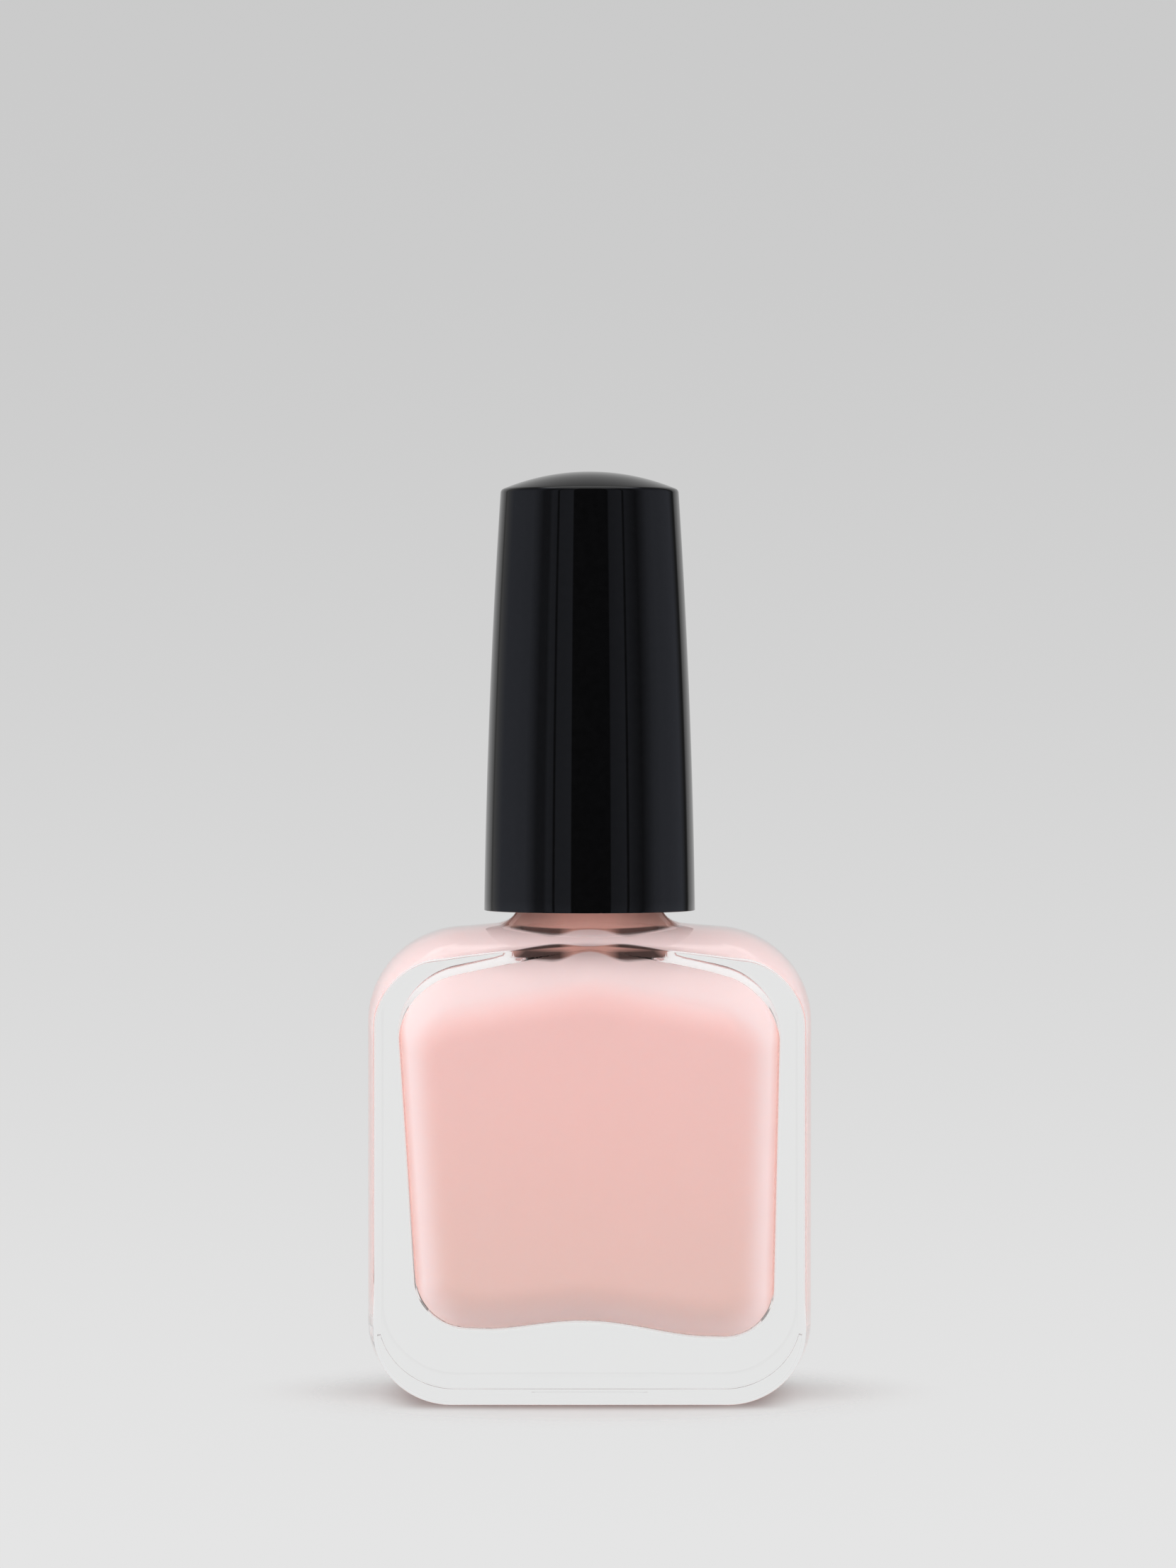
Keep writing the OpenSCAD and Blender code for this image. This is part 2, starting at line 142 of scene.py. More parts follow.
polishLook = {  # heights and reaches in metres
    "lower": (0.79, 0.55, 0.505, 1), "upper": (0.89, 0.565, 0.545, 1), "heightBlend": (0.007, 0.034),
    "swirl": (14, 3.0, (1, 1, 0.5)), "swirlShare": 0.25,
    # painted light: paler edges where the side lamps would light the polish, and a paler top
    "paintedEdgeLight": (0.87, 0.68, 0.675, 1), "edgeLightGain": 1.9, "edgeLightCurve": 1.4,
    "floorFacing": (-0.5, 0.0), "floorShare": 0.5, "toplitFacing": (0.3, 0.9), "toplitShare": 0.7,
    # painted shade on the faces against the narrow sides
    "deep": (0.78, 0.45, 0.41, 1), "deepFacing": (0.75, 0.95), "deepShare": 0.8,
    # painted shade in the neck, under the cap
    "paintedNeckShade": (0.76, 0.41, 0.35, 1), "neckShadeHeight": (0.0345, 0.0355), "neckShadeAcross": 0.0072,
    "neckShadeAlong": (0.0046, 0.0058), "drawnBack": 0.0032, "neckShadeEdge": 0.88,
    # painted shade under the cap, towards the sides of the neck
    "paintedCapShade": (0.20, 0.12, 0.105, 1), "capShadeAcross": (0.0018, 0.0042), "capShadeShare": 0.4,
    # painted dark shade at the neck's foot, under the cap
    "foot": (0.05, 0.036, 0.034, 1), "footShadeShare": 0.92, "footShadeAcross": (0.0012, 0.0024),
    "footShadeAlong": (0.002, 0.003), "footShadeHeight": (0.0362, 0.0359),
    "gloss": (3,), "roughness": (0.02, 0.05), "skinFacing": (0.61, 0.67), "skinIndex": (1.12, 40.0),
}


def pinkPolishFinish():
    look = polishLook
    material, tree, shader = makeMaterial("pinkPolish", {
        "Subsurface Weight": 0.25, "Subsurface Radius": (1.0, 0.6, 0.5), "Subsurface Scale": 0.0015})
    add, take, mul = sums(tree)
    coords = addNode(tree, "ShaderNodeTexCoord").outputs
    place, facing = axes(tree, coords["Object"]), axes(tree, coords["Normal"])
    swirl = mul(take(pieceNoise(tree, *look["swirl"]), 0.5), look["swirlShare"])
    # colour darker towards the bottom and lighter towards the top
    heightBlend = ranged(tree, place["Z"], *look["heightBlend"])
    body = addNode(tree, "ShaderNodeValToRGB", {"Fac": add(heightBlend, swirl)})
    for stop, colour in zip(body.color_ramp.elements, (look["lower"], look["upper"])):
        stop.color = colour
    # painted light: paler along the rounded edges, as if lit by the side lamps, but not along the floor, and
    # paler where it faces up, as if lit from above
    bend = take(1.0, *(calc(tree, "POWER", calc(tree, "ABSOLUTE", axis), 4.0) for axis in facing))
    edgeLight = calc(tree, "POWER", mul(bend, look["edgeLightGain"]), look["edgeLightCurve"])
    upward = ranged(tree, facing["Z"], *look["floorFacing"], look["floorShare"])
    top = ranged(tree, facing["Z"], *look["toplitFacing"], 0.0, look["toplitShare"])
    pale = calc(tree, "MINIMUM", add(mul(edgeLight, upward), top), 1.0)
    colour = blended(tree, pale, body.outputs[0], look["paintedEdgeLight"])
    # painted shade: deeper, darker colour where it stands flat against the narrow sides
    side = ranged(tree, calc(tree, "ABSOLUTE", facing["X"]), *look["deepFacing"], 0.0, look["deepShare"])
    colour = blended(tree, side, colour, look["deep"])
    # painted shade under the cap: darker and redder in the neck, drawn back in the middle
    across, along = (calc(tree, "ABSOLUTE", place[axis]) for axis in "XY")
    front = ranged(tree, across, 0.0, look["drawnBack"], *look["neckShadeAlong"], "SMOOTHSTEP")
    reach = add(*(calc(tree, "POWER", calc(tree, "DIVIDE", place[axis], half), 2.0)
                  for axis, half in (("X", look["neckShadeAcross"]), ("Y", front))))
    paintedNeckShade = mul(ranged(tree, place["Z"], *look["neckShadeHeight"]), ranged(tree, reach, 1.0, look["neckShadeEdge"]))
    # painted shade under the cap, darker towards the sides of the neck
    paintedCapShade = ranged(tree, across, *look["capShadeAcross"], 0.0, look["capShadeShare"])
    neck = blended(tree, paintedCapShade, look["paintedNeckShade"], look["paintedCapShade"])
    # painted dark shade at the neck's foot, in front and behind
    limits = ((across, "footShadeAcross"), (along, "footShadeAlong"), (place["Z"], "footShadeHeight"))
    foot = mul(look["footShadeShare"], *(ranged(tree, value, *look[key]) for value, key in limits))
    neck = blended(tree, foot, neck, look["foot"])
    feed(tree, shader, "Base Color", blended(tree, paintedNeckShade, colour, neck))
    feed(tree, shader, "Roughness", spread(tree, pieceNoise(tree, *look["gloss"]), *look["roughness"]))
    # seen at a low angle through glass, the liquid's skin mirrors fully
    grazing = addNode(tree, "ShaderNodeLayerWeight", {"Blend": 0.5}).outputs["Facing"]
    feed(tree, shader, "IOR", ranged(tree, grazing, *look["skinFacing"], *look["skinIndex"]))
    return material


def speckledFinish(name, look, plain):
    material, tree, shader = makeMaterial(name, plain)
    tone = twoTone(tree, pieceNoise(tree, *look["tone"]), look["dark"], look["light"])
    feed(tree, shader, "Base Color", tone)
    feed(tree, shader, "Roughness", spread(tree, pieceNoise(tree, *look["gloss"]), *look["roughness"]))
    if "ripple" in look:
        bumpOn(tree, shader, pieceNoise(tree, *look["ripple"]), *look["relief"])
    return material


blackLook = {  # faint moulding ripple under a high gloss
    "dark": (0.0024, 0.0024, 0.0026), "light": (0.0032, 0.0032, 0.0035), "tone": (0.6,),
    "gloss": (1.5, 4.0), "roughness": (0.012, 0.03), "ripple": (1.2, 2.0), "relief": (0.04, 0.01)}
whiteLook = {  # satin moulding
    "dark": (0.66, 0.66, 0.64), "light": (0.73, 0.73, 0.71), "tone": (2.2,),
    "gloss": (0.35,), "roughness": (0.26, 0.40), "ripple": (0.12, 2.0), "relief": (0.12, 0.01)}
stemLook = {  # drawn out along the rod
    "dark": (0.70, 0.70, 0.68), "light": (0.77, 0.77, 0.75), "tone": (3.0, 3.0, (1, 1, 0.25)),
    "gloss": (0.5,), "roughness": (0.22, 0.34), "ripple": (0.25, 2.0, (1, 1, 0.2)), "relief": (0.1, 0.01)}
steelLook = {"dark": (0.50, 0.50, 0.52), "light": (0.60, 0.60, 0.62), "tone": (0.8,)}
wireLook = {**steelLook, "gloss": (0.2, 2.0, (0.05, 1, 1)), "roughness": (0.25, 0.4)}
beadLook = {**steelLook, "gloss": (0.2, 2.0), "roughness": (0.08, 0.16)}
foamLook = {"dark": (0.70, 0.68, 0.62), "light": (0.86, 0.85, 0.80), "cellsPerMetre": 9000.0,
            "roughness": (0.62, 0.8), "relief": (0.4, 0.03)}
nylonLook = {  # the tips hold a little pigment
    "dark": (0.035, 0.032, 0.03), "light": (0.32, 0.19, 0.175), "tone": (0.4,), "tipHeight": (0.0075, 0.0135),
    "pigment": (0.72, 0.28), "gloss": (0.3,), "roughness": (0.28, 0.42)}


def foamSealFinish():
    material, tree, shader = makeMaterial("foamSeal", {"IOR": 1.4})
    cells = addNode(tree, "ShaderNodeTexVoronoi", {
        "Vector": pieceCoords(tree), "Scale": foamLook["cellsPerMetre"]}).outputs["Distance"]
    feed(tree, shader, "Base Color", twoTone(tree, cells, foamLook["dark"], foamLook["light"]))
    feed(tree, shader, "Roughness", spread(tree, cells, *foamLook["roughness"]))
    bumpOn(tree, shader, cells, *foamLook["relief"])
    return material


def nylonFinish():
    look = nylonLook
    material, tree, shader = makeMaterial("nylonFilament", {"IOR": 1.53, "Sheen Weight": 0.2})
    wet = ranged(tree, axes(tree, pieceCoords(tree))["Z"], *look["tipHeight"], *look["pigment"])
    fleck = calc(tree, "MULTIPLY", pieceNoise(tree, *look["tone"]), wet)
    feed(tree, shader, "Base Color", twoTone(tree, fleck, look["dark"], look["light"]))
    feed(tree, shader, "Roughness", spread(tree, pieceNoise(tree, *look["gloss"]), *look["roughness"]))
    return material


clearGlass, pinkPolish = clearGlassFinish(), pinkPolishFinish()
blackGloss = speckledFinish("blackGloss", blackLook, {"IOR": 1.5})
mouldedWhite = speckledFinish("mouldedWhite", whiteLook, {"IOR": 1.48})
foamSeal = foamSealFinish()
stemPlastic = speckledFinish("stemPlastic", stemLook, {
    "IOR": 1.5, "Subsurface Weight": 0.2, "Subsurface Scale": 0.001})
nylon = nylonFinish()
drawnWire = speckledFinish("drawnWire", wireLook, {"Metallic": 1.0})
polishedBead = speckledFinish("polishedBead", beadLook, {"Metallic": 1.0})
print("finishes ready")


# meshes, in mm: rings of points that are joined by faces

def finishPiece(obj, body, node, sharp):  # edges over sharp degrees stay crisp
    mesh = obj.data
    mesh.polygons.foreach_set("use_smooth", [True] * len(mesh.polygons))
    mesh.set_sharp_from_angle(angle=math.radians(sharp))
    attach(obj, body)
    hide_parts(node)
    print(obj.name, len(mesh.polygons), "faces on", body)


def meshPiece(name, points, faces, material):
    mesh = bpy.data.meshes.new(name)
    mesh.from_pydata((np.array(points) * mm).tolist(), [], [tuple(int(i) for i in f) for f in faces])
    mesh.materials.append(material)
    mesh.validate()
    mesh.update()
    obj = bpy.data.objects.new(name, mesh)
    scene.collection.objects.link(obj)
    return obj


def addRing(points, places):
    points.extend(places)
    return list(range(len(points) - len(places), len(points)))


def joinRings(faces, lower, upper):
    for m in range(len(lower)):
        after = (m + 1) % len(lower)
        faces.append((lower[m], upper[m], upper[after], lower[after]))


def growRing(points, faces, ring, places):  # the next ring, joined to the one before
    after = addRing(points, places)
    joinRings(faces, ring, after)
    return after


def closeRing(points, faces, ring, centre):
    points.append(np.array(centre, float))
    for m in range(len(ring)):
        faces.append((ring[m], len(points) - 1, ring[(m + 1) % len(ring)]))


def onCircle(angle, radius, z):
    return np.column_stack([radius * np.cos(angle), radius * np.sin(angle), z * np.ones(len(angle))])


def evenTurn(count):
    return np.linspace(0, 2 * np.pi, count, endpoint=False)


def placesOf(points, loop):
    return np.array([points[i] for i in loop])


def angles(points, loop):
    x, y = placesOf(points, loop)[:, :2].T
    return np.unwrap(np.arctan2(y, x))


def between(first, second, t):
    return first * (1 - t) + second * t


def lifted(xy, heightAt):
    return np.column_stack([xy, heightAt(*xy.T)])


def shares(count):  # even steps up to 1, without the start
    return np.linspace(0, 1, count + 1)[1:]


steps = {"corner": 20, "edge": 32, "depth": 32, "round": 10, "shoulder": 10, "fillet": 10, "bore": 12,
         "flare": 9, "ceiling": 6, "hollow": 10, "surface": 12, "stem": 7, "pocket": 15, "pocketTurn": 32}
columns = 4 * steps["corner"] + 2 * steps["edge"] + 2
topColumns = list(range(2 * steps["corner"] + 1, 2 * steps["corner"] + steps["edge"] + 2))
bottomColumns = list(range(4 * steps["corner"] + steps["edge"] + 2, columns)) + [0]
firstFull, lastFull = 1 + steps["round"], 1 + steps["round"] + steps["depth"]


def frontOutline(halfWidth, bottom, top, bottomRound, topRound):
    def arc(x, z, r, start):
        a = np.radians(start + 90 * np.arange(steps["corner"] + 1) / steps["corner"])
        return np.column_stack([x + r * np.cos(a), z + r * np.sin(a)])

    share = 2 * np.arange(1, steps["edge"]) / steps["edge"] - 1
    level = np.ones(len(share))
    w, b, t = halfWidth, bottomRound, topRound
    return np.vstack([
        arc(w - b, bottom + b, b, -90), arc(w - t, top - t, t, 0),
        np.column_stack([-(w - t) * share, top * level]),
        arc(t - w, top - t, t, 90), arc(b - w, bottom + b, b, 180),
        np.column_stack([(w - b) * share, bottom * level])])


def depthSections(halfDepth, edgeRound, backRound, faceRing):  # depth and inset of each outline
    def edge(r):
        a = np.radians(90 - 90 * np.arange(steps["round"] + 1) / steps["round"])
        return [(-halfDepth, r + faceRing)] + [
            (-halfDepth + r * (1 - math.sin(x)), r * (1 - math.cos(x))) for x in a]

    middle = [((halfDepth - edgeRound) * math.sin(math.pi * (k / steps["depth"] - 0.5)), 0.0)
              for k in range(1, steps["depth"])]
    return edge(edgeRound) + middle + [(-y, inset) for y, inset in reversed(edge(backRound))]


def loftShell(points, faces, rings, outward, bottomOpen):
    base, last = len(points), len(rings) - 1
    points.extend(np.vstack(rings))
    holes = set(topColumns[:-1]) | (set(bottomColumns[:-1]) if bottomOpen else set())
    for k in range(last):
        for i in range(columns):
            if firstFull <= k < lastFull and i in holes:
                continue
            a, b = base + k * columns + i, base + k * columns + (i + 1) % columns
            quad = (a, a + columns, b + columns, b)
            faces.append(quad if outward else quad[::-1])
    frontFace = list(range(base, base + columns))
    backFace = list(range(base + last * columns, base + (last + 1) * columns))
    faces.append(frontFace if outward else frontFace[::-1])
    faces.append(backFace[::-1] if outward else backFace)
    return base


def holeLoop(base, openColumns):  # clockwise as seen from outside the hole
    front, back = base + firstFull * columns, base + lastFull * columns
    return ([front + c for c in openColumns[:-1]]
            + [base + k * columns + openColumns[-1] for k in range(firstFull, lastFull)]
            + [back + c for c in reversed(openColumns[1:])]
            + [base + k * columns + openColumns[0] for k in range(lastFull, firstFull, -1)])


# the bottle: clear glass round a cavity, with a threaded neck
glassForm = {
    "width": 35.8, "depth": 20.0, "height": 37.8, "shoulderRound": 7.3, "footRound": 6.2, "edgeRound": 0.3,
    "backRound": 0.04, "sideBulge": 0.7, "shoulderFall": 1.15, "shoulderArch": 0.3, "faceArch": 2.1,
    "faceShoulderRound": 4.6, "flareRise": 0.5, "flareWidth": 8.0, "faceRing": 0.25,
    "recessDepth": 0.3, "recessRound": 3.0, "recessMiddle": 0.1, "bearingWidth": 3.0, "bearingRise": 0.02,
    # shares of the way in and of the rise
    "bearingProfile": ((0.1, 0.05), (0.2, 0.25), (0.3, 0.5), (0.45, 0.85), (0.7, 1)),
}
neckForm = {
    "radius": 5.8, "height": 11.3, "boreRadius": 4.0, "fillet": 1.8, "rimRound": 0.5, "lipRound": 0.3,
    "pitch": 2.1, "turns": 1.5, "threadDepth": 0.65, "rootWidth": 1.0, "crestWidth": 0.45, "threadStart": 1.3,
    "runOut": 0.12, "rowHeight": 0.1, "rimAngles": (15, 30, 45, 60, 75, 90), "lipAngles": (0, 22, 45, 67, 90),
    "curveHandle": 0.55, "slopeReach": 0.01,
}
cavityForm = {
    "frontWall": 2.4, "leftWall": 2.3, "leftFoot": 4.0, "rightWall": 2.5, "rightFoot": 3.1, "topWall": 1.0,
    "base": 5.3, "floorRise": 0.9, "floorDrop": 0.6, "roofSlope": 0.21, "roofBend": 1.2, "roofFall": 2.3,
    "cornerRound": 4.5, "topRound": 4.75, "edgeRound": 3.4, "leastRound": 0.5,
    "flareTop": 39.0, "flareReach": 3.0, "flareFront": 0.1, "flareCurve": 1.4,
}
rimHeight = glassForm["height"] + neckForm["height"]
cavityTop = glassForm["height"] - cavityForm["topWall"]
cavityHalfDepth = glassForm["depth"] / 2 - cavityForm["frontWall"]
beadX = glassForm["width"] / 2 - cavityForm["leftFoot"] - cavityForm["cornerRound"]


def shoulderShape(x, y):
    g = glassForm
    out = np.maximum(0, np.hypot(x, y) - neckForm["radius"])
    arch = g["shoulderArch"] + g["faceArch"] * (2 * y / g["depth"]) ** 4
    return -arch * (2 * x / g["width"]) ** 2 + g["flareRise"] * np.maximum(0, 1 - out / g["flareWidth"]) ** 2


def shoulderTop(x, y):
    fall = glassForm["shoulderFall"] * (2 * y / glassForm["depth"]) ** 4
    return glassForm["height"] - fall + shoulderShape(x, y)


def glassSection(y, inset):
    g = glassForm
    share = 2 * y / g["depth"]
    top = g["height"] - g["shoulderFall"] * share ** 4 - inset
    corner = g["shoulderRound"] + (g["faceShoulderRound"] - g["shoulderRound"]) * share ** 4
    half = g["width"] / 2 - g["sideBulge"] * share ** 2 - inset
    x, z = frontOutline(half, inset, top, g["footRound"] - inset, corner - inset).T
    return np.column_stack([x, np.full(len(x), y), z + shoulderShape(x, y) * (z - inset) / (top - inset)])


def floorShape(x):
    hump = cavityForm["floorRise"] * np.maximum(0, 1 - (x / beadX) ** 2) ** 2
    return hump - cavityForm["floorDrop"] * x / (2 * beadX)


def roofShape(x, y):
    slope = cavityForm["roofSlope"] * (np.hypot(x, cavityForm["roofBend"]) - cavityForm["roofBend"])
    return slope + cavityForm["roofFall"] * (y / cavityHalfDepth) ** 2


def ceilingTop(x, y, lift=0.0):
    return cavityTop + lift - roofShape(x, y)


def boreFlare(turn, bore, lift):  # the bore opens sideways into the cavity: radii and heights, top to foot
    c = cavityForm
    reach = c["flareFront"] + (c["flareReach"] - c["flareFront"]) * np.cos(turn) ** 2
    foot = ceilingTop((bore + reach) * np.cos(turn), (bore + reach) * np.sin(turn), lift)
    return [(bore + reach * u ** c["flareCurve"], c["flareTop"] + (foot - c["flareTop"]) * u)
            for u in np.linspace(0, 1, steps["flare"] + 1)]


def cavitySection(y, inset):
    c = cavityForm
    half, top, bottom = glassForm["width"] / 2 - c["leftWall"] - inset, cavityTop - inset, c["base"] + inset
    x, z = frontOutline(half, bottom, top, max(c["cornerRound"] - inset, c["leastRound"]),
                        max(c["topRound"] - inset, c["leastRound"])).T
    up, side = (z - bottom) / (top - bottom), x / half
    lean = np.where(x < 0, (c["leftFoot"] - c["leftWall"]) * (1 - up),
                    (c["rightWall"] - c["leftWall"]) * up + (c["rightFoot"] - c["leftWall"]) * (1 - up))
    height = z + floorShape(x) * (1 - up) - roofShape(x, y) * up
    return np.column_stack([x - side * lean, np.full(len(x), y), height])


def threadHeight(angle, z):
    n = neckForm
    start = rimHeight - n["threadStart"] - n["pitch"] * n["turns"]
    best = np.zeros(len(angle))
    for lap in (0, 1):
        turn = (angle % (2 * np.pi)) / (2 * np.pi) + lap
        rise = np.clip(np.minimum(turn, n["turns"] - turn) / n["runOut"], 0, 1)
        off = np.abs(z - start - n["pitch"] * turn)
        flank = np.clip((n["rootWidth"] / 2 - off) / (n["rootWidth"] / 2 - n["crestWidth"] / 2), 0, 1)
        best = np.maximum(best, n["threadDepth"] * rise * flank * flank * (3 - 2 * flank))
    return best


def recessReach(angle, halfWidth, halfDepth, corner):  # distance from the middle to a rounded rectangle
    c, s = np.abs(np.cos(angle)), np.abs(np.sin(angle))
    flat = np.minimum(halfWidth / np.maximum(c, tiny), halfDepth / np.maximum(s, tiny))
    x0, y0 = halfWidth - corner, halfDepth - corner
    along = c * x0 + s * y0
    inside = np.maximum(along ** 2 - (x0 ** 2 + y0 ** 2 - corner ** 2), 0)
    return np.where((flat * c > x0) & (flat * s > y0), along + np.sqrt(inside), flat)


def growNeck(points, faces, shell):  # shoulder, fillet, thread, rim and lip: the last ring and its angles
    n = neckForm
    ring = holeLoop(shell, topColumns)
    turn = angles(points, ring)
    foot = n["radius"] + n["fillet"]
    edge, circle = placesOf(points, ring)[:, :2], onCircle(turn, foot, 0)[:, :2]
    for t in shares(steps["shoulder"]):
        ring = growRing(points, faces, ring, lifted(between(edge, circle, t), shoulderTop))
    low, top = shoulderTop(*circle.T), glassForm["height"] + n["fillet"]
    slope = (shoulderTop(*circle.T * (1 + n["slopeReach"])) - low) / (n["slopeReach"] * foot)
    handle = n["curveHandle"]
    reach = handle * n["fillet"]
    for t in shares(steps["fillet"]):
        b = [(1 - t) ** 3, 3 * t * (1 - t) ** 2, 3 * t * t * (1 - t), t ** 3]
        r = b[0] * foot + b[1] * (foot - reach) + (b[2] + b[3]) * n["radius"]
        z = b[0] * low + b[1] * (low - slope * reach) + b[2] * (top - handle * (top - low)) + b[3] * top
        ring = growRing(points, faces, ring, onCircle(turn, r, z))
    rimStart, lip = rimHeight - n["rimRound"], n["boreRadius"] + n["lipRound"]
    rows = int(round((rimStart - top) / n["rowHeight"]))
    profile = [(n["radius"], top + (rimStart - top) * k / rows) for k in range(1, rows + 1)]
    profile += [(n["radius"] - n["rimRound"] * (1 - math.cos(a)), rimStart + n["rimRound"] * math.sin(a))
                for a in np.radians(n["rimAngles"])]
    profile += [(lip - n["lipRound"] * math.sin(a), rimHeight - n["lipRound"] * (1 - math.cos(a)))
                for a in np.radians(n["lipAngles"])]
    for r, z in profile:
        thread = threadHeight(turn, z) * (r == n["radius"])
        ring = growRing(points, faces, ring, onCircle(turn, r + thread, z))
    return ring, turn


def growBore(points, faces, inner, ring, turn):  # down the bore and out into the cavity's ceiling
    n, c = neckForm, cavityForm
    ceiling = holeLoop(inner, topColumns)
    goal = angles(points, ceiling)
    goal += 2 * np.pi * np.round((turn[0] - goal[0]) / (2 * np.pi))
    for t in shares(steps["bore"]):
        height = between(rimHeight - n["lipRound"], c["flareTop"], t)
        ring = growRing(points, faces, ring, onCircle(turn + (goal - turn) * t, n["boreRadius"], height))
    flare = boreFlare(goal, n["boreRadius"], 0)
    for r, z in flare[1:]:
        ring = growRing(points, faces, ring, onCircle(goal, r, z))
    foot, edge = onCircle(goal, flare[-1][0], 0)[:, :2], placesOf(points, ceiling)[:, :2]
    for t in shares(steps["ceiling"])[:-1]:
        ring = growRing(points, faces, ring, lifted(between(foot, edge, t), ceilingTop))
    joinRings(faces, ring, ceiling)


def growBase(points, faces, shell):  # bearing ring and hollow under the base
    g = glassForm
    ring = holeLoop(shell, bottomColumns)
    turn, edge = angles(points, ring), placesOf(points, ring)
    halfWidth = g["width"] / 2 - g["footRound"] - g["sideBulge"] - g["bearingWidth"]
    halfDepth = g["depth"] / 2 - g["edgeRound"] - g["bearingWidth"]
    hollow = onCircle(turn, recessReach(turn, halfWidth, halfDepth, g["recessRound"]), 0)
    for t, rise in g["bearingProfile"]:
        ring = growRing(points, faces, ring, between(edge, hollow, t) + (0, 0, rise * g["bearingRise"]))
    for share in np.linspace(1, g["recessMiddle"], steps["hollow"]):
        rise = g["bearingRise"] + (g["recessDepth"] - g["bearingRise"]) * (1 - share ** 2) ** 2
        ring = growRing(points, faces, ring, hollow * share + (0, 0, rise))
    closeRing(points, faces, ring, (0, 0, g["recessDepth"]))


def makeBottleGlass():
    points, faces, g, c = [], [], glassForm, cavityForm
    outside = depthSections(g["depth"] / 2, g["edgeRound"], g["backRound"], g["faceRing"])
    inside = depthSections(cavityHalfDepth, c["edgeRound"], c["edgeRound"], g["faceRing"])
    shell = loftShell(points, faces, [glassSection(*s) for s in outside], True, True)
    inner = loftShell(points, faces, [cavitySection(*s) for s in inside], False, False)
    lipRing, turn = growNeck(points, faces, shell)
    growBore(points, faces, inner, lipRing, turn)
    growBase(points, faces, shell)
    obj = meshPiece("bottleGlass", points, faces, clearGlass)
    obj.visible_shadow = False  # lamps reach the polish through the glass
    finishPiece(obj, "bottle", "glass_bottle", sharp=45)


# small turned pieces under the cap

def turned(name, profile, around, material):
    points, faces, ring, first = [], [], None, None
    angle = -evenTurn(around)
    for r, z in profile:
        if r < tiny:
            if ring:
                closeRing(points, faces, ring, (0, 0, z))
            else:
                points.append(np.array((0, 0, z), float))
            continue
        after = addRing(points, onCircle(angle, r, z))
        if ring:
            joinRings(faces, ring, after)
        elif len(points) > around:  # the profile began on the axis
            for m in range(around):
                faces.append((0, after[m], after[(m + 1) % around]))
        first = first or after
        ring = after
    if min(profile[0][0], profile[-1][0]) > tiny:
        joinRings(faces, ring, first)
    return meshPiece(name, points, faces, material)


def rounded(corners, radius, count=4, longest=0.45):  # rounds each corner of a profile that isn't on the axis
    out = []
    for k, corner in enumerate(corners):
        here = np.array(corner, float)
        if here[0] < tiny:
            out.append(corner)
            continue
        legs = [np.array(corners[j]) - here for j in (k - 1, (k + 1) % len(corners))]
        cut = min(radius, *(longest * np.hypot(*leg) for leg in legs))
        p, q = (here + leg / np.hypot(*leg) * cut for leg in legs)
        for t in np.linspace(0, 1, count):
            out.append(tuple(p * (1 - t) ** 2 + here * 2 * t * (1 - t) + q * t * t))
    return out


stemForm = {"headRadius": 2.0, "headTop": 54.0, "roof": 49.9, "plugRadius": 3.75, "plugFoot": 47.9,
            "topRadius": 2.1, "endRadius": 1.8, "endHeight": 22.1, "holeRadius": 1.35, "holeTop": 26.1,
            "edge": 0.15, "around": 64}


def makeStem():
    s = stemForm
    corners = [(0, s["holeTop"]), (s["holeRadius"], s["holeTop"]), (s["holeRadius"], s["endHeight"]),
               (s["endRadius"], s["endHeight"]), (s["topRadius"], s["plugFoot"]),
               (s["plugRadius"], s["plugFoot"]), (s["plugRadius"], s["roof"]), (s["headRadius"], s["roof"]),
               (s["headRadius"], s["headTop"]), (0, s["headTop"])]
    rod = turned("brushRod", rounded(corners, s["edge"]), s["around"], stemPlastic)
    finishPiece(rod, "brush", "brush_stem", sharp=50)


sealForm = {"outer": 6.3, "inner": 3.85, "bottom": 49.1, "top": 49.9, "edge": 0.18, "around": 96}


def makeSeal():
    s = sealForm
    low, high = s["bottom"], s["top"]
    corners = [(s["inner"], low), (s["outer"], low), (s["outer"], high), (s["inner"], high)]
    washer = turned("foamWasher", rounded(corners, s["edge"]), s["around"], foamSeal)
    finishPiece(washer, "seal", "seal_washer", sharp=50)


# polish that fills the cavity, with room for the brush and beads
polishForm = {"overlap": 0.012, "fill": 40.8, "meniscus": 0.35, "clearance": 0.05, "tuftRadius": 1.69,
              "tipHeight": 7.6, "beadDiameter": 4.0, "pocketTilt": 80}


def growPocket(points, faces, side):  # round room for a bead, facing inward
    p, x = polishForm, side * beadX
    radius = p["beadDiameter"] / 2 + p["clearance"]
    middle = np.array([x, 0, cavityForm["base"] + floorShape(x) + p["clearance"] + p["beadDiameter"] / 2])
    around = evenTurn(steps["pocketTurn"])
    tilts = np.radians(np.linspace(p["pocketTilt"], -p["pocketTilt"], steps["pocket"]))
    rows = [middle + onCircle(around, radius * math.cos(a), radius * math.sin(a)) for a in tilts]
    ring = addRing(points, rows[0])
    closeRing(points, faces, ring[::-1], middle + (0, 0, radius))
    for row in rows[1:]:
        ring = growRing(points, faces, ring, row)
    closeRing(points, faces, ring, middle - (0, 0, radius))


